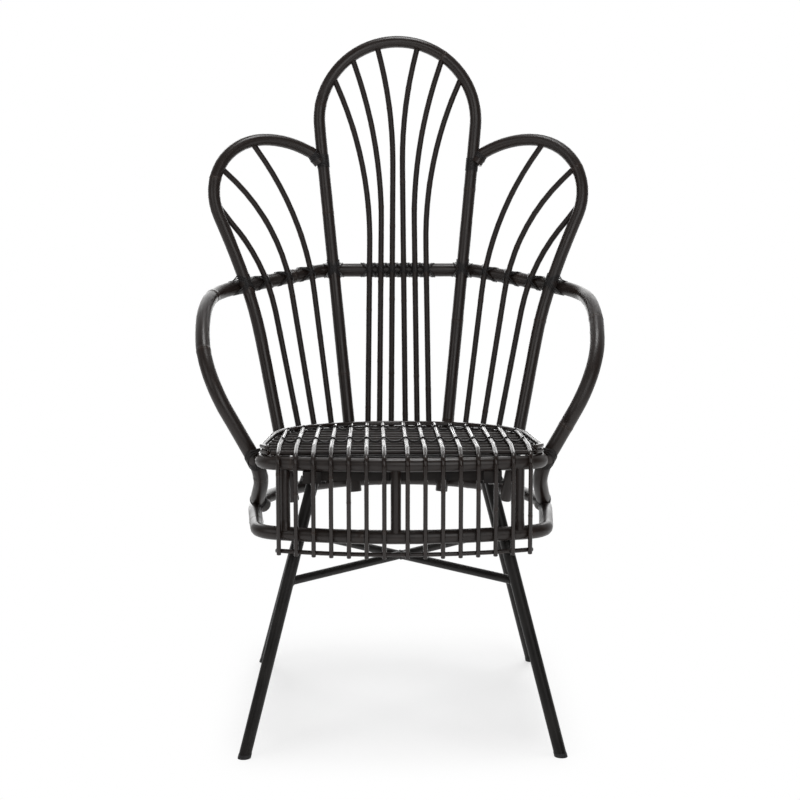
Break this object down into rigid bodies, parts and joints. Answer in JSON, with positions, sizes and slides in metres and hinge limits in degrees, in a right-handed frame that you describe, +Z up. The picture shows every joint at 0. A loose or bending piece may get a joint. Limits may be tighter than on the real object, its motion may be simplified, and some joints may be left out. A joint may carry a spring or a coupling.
{
  "type": "lounge_chair",
  "caption": "Black rattan lounge chair: fan back of lobed hoops and spindles, bent arms, a rod seat that turns down as a front skirt, and splayed iron legs with a flat cross brace.",
  "frame": {"origin": "on the floor, under the middle of the chair's box", "axes": "+Z up; -Y is the way the sitter faces; +X is to the right as seen from the front"},
  "size_m": [0.6692, 0.6234, 1.1114],
  "materials": {
    "rattan": "rattan poles and rods under black lacquer, semi-gloss",
    "cane": "cane strip wound round the poles, black lacquer, semi-gloss",
    "batten": "planed wood, black stain, matt",
    "iron": "iron tube, black powder coat, satin",
    "screw_steel": "plain steel screw",
    "glide_plastic": "black plastic, matt"
  },
  "bodies": {
    "root": {"arm_rail": "rattan", "arm_wraps": "cane", "back_rail_wraps": "cane", "center_back_hoop": "rattan", "center_front_post": "rattan", "cross_rods": "rattan", "foot_glides": "glide_plastic", "front_edge_rod": "rattan", "front_half_stretcher": "iron", "front_seat_bearer": "batten", "left_back_hoop": "rattan", "left_center_spindle_1": "rattan", "left_center_spindle_2": "rattan", "left_center_spindle_3": "rattan", "left_front_leg": "iron", "left_front_post": "rattan", "left_rear_leg": "iron", "left_seat_bearer": "batten", "left_spindle_1": "rattan", "left_spindle_2": "rattan", "left_spindle_3": "rattan", "leg_plates": "iron", "leg_screws": "screw_steel", "lobe_joint_wraps": "cane", "long_stretcher": "iron", "lower_ring": "rattan", "lower_trim_rod": "rattan", "rear_half_stretcher": "iron", "right_back_hoop": "rattan", "right_center_spindle_1": "rattan", "right_center_spindle_2": "rattan", "right_center_spindle_3": "rattan", "right_front_leg": "iron", "right_front_post": "rattan", "right_rear_leg": "iron", "right_seat_bearer": "batten", "right_spindle_1": "rattan", "right_spindle_2": "rattan", "right_spindle_3": "rattan", "ring_wraps": "cane", "seat_edge_rod": "rattan", "seat_ring": "rattan", "seat_rod_01": "rattan", "seat_rod_02": "rattan", "seat_rod_03": "rattan", "seat_rod_04": "rattan", "seat_rod_05": "rattan", "seat_rod_06": "rattan", "seat_rod_07": "rattan", "seat_rod_08": "rattan", "seat_rod_09": "rattan", "seat_rod_10": "rattan", "seat_rod_11": "rattan", "seat_rod_12": "rattan", "seat_rod_13": "rattan", "seat_rod_14": "rattan", "seat_rod_15": "rattan", "top_edge_rod": "rattan"}
  },
  "joints": []
}
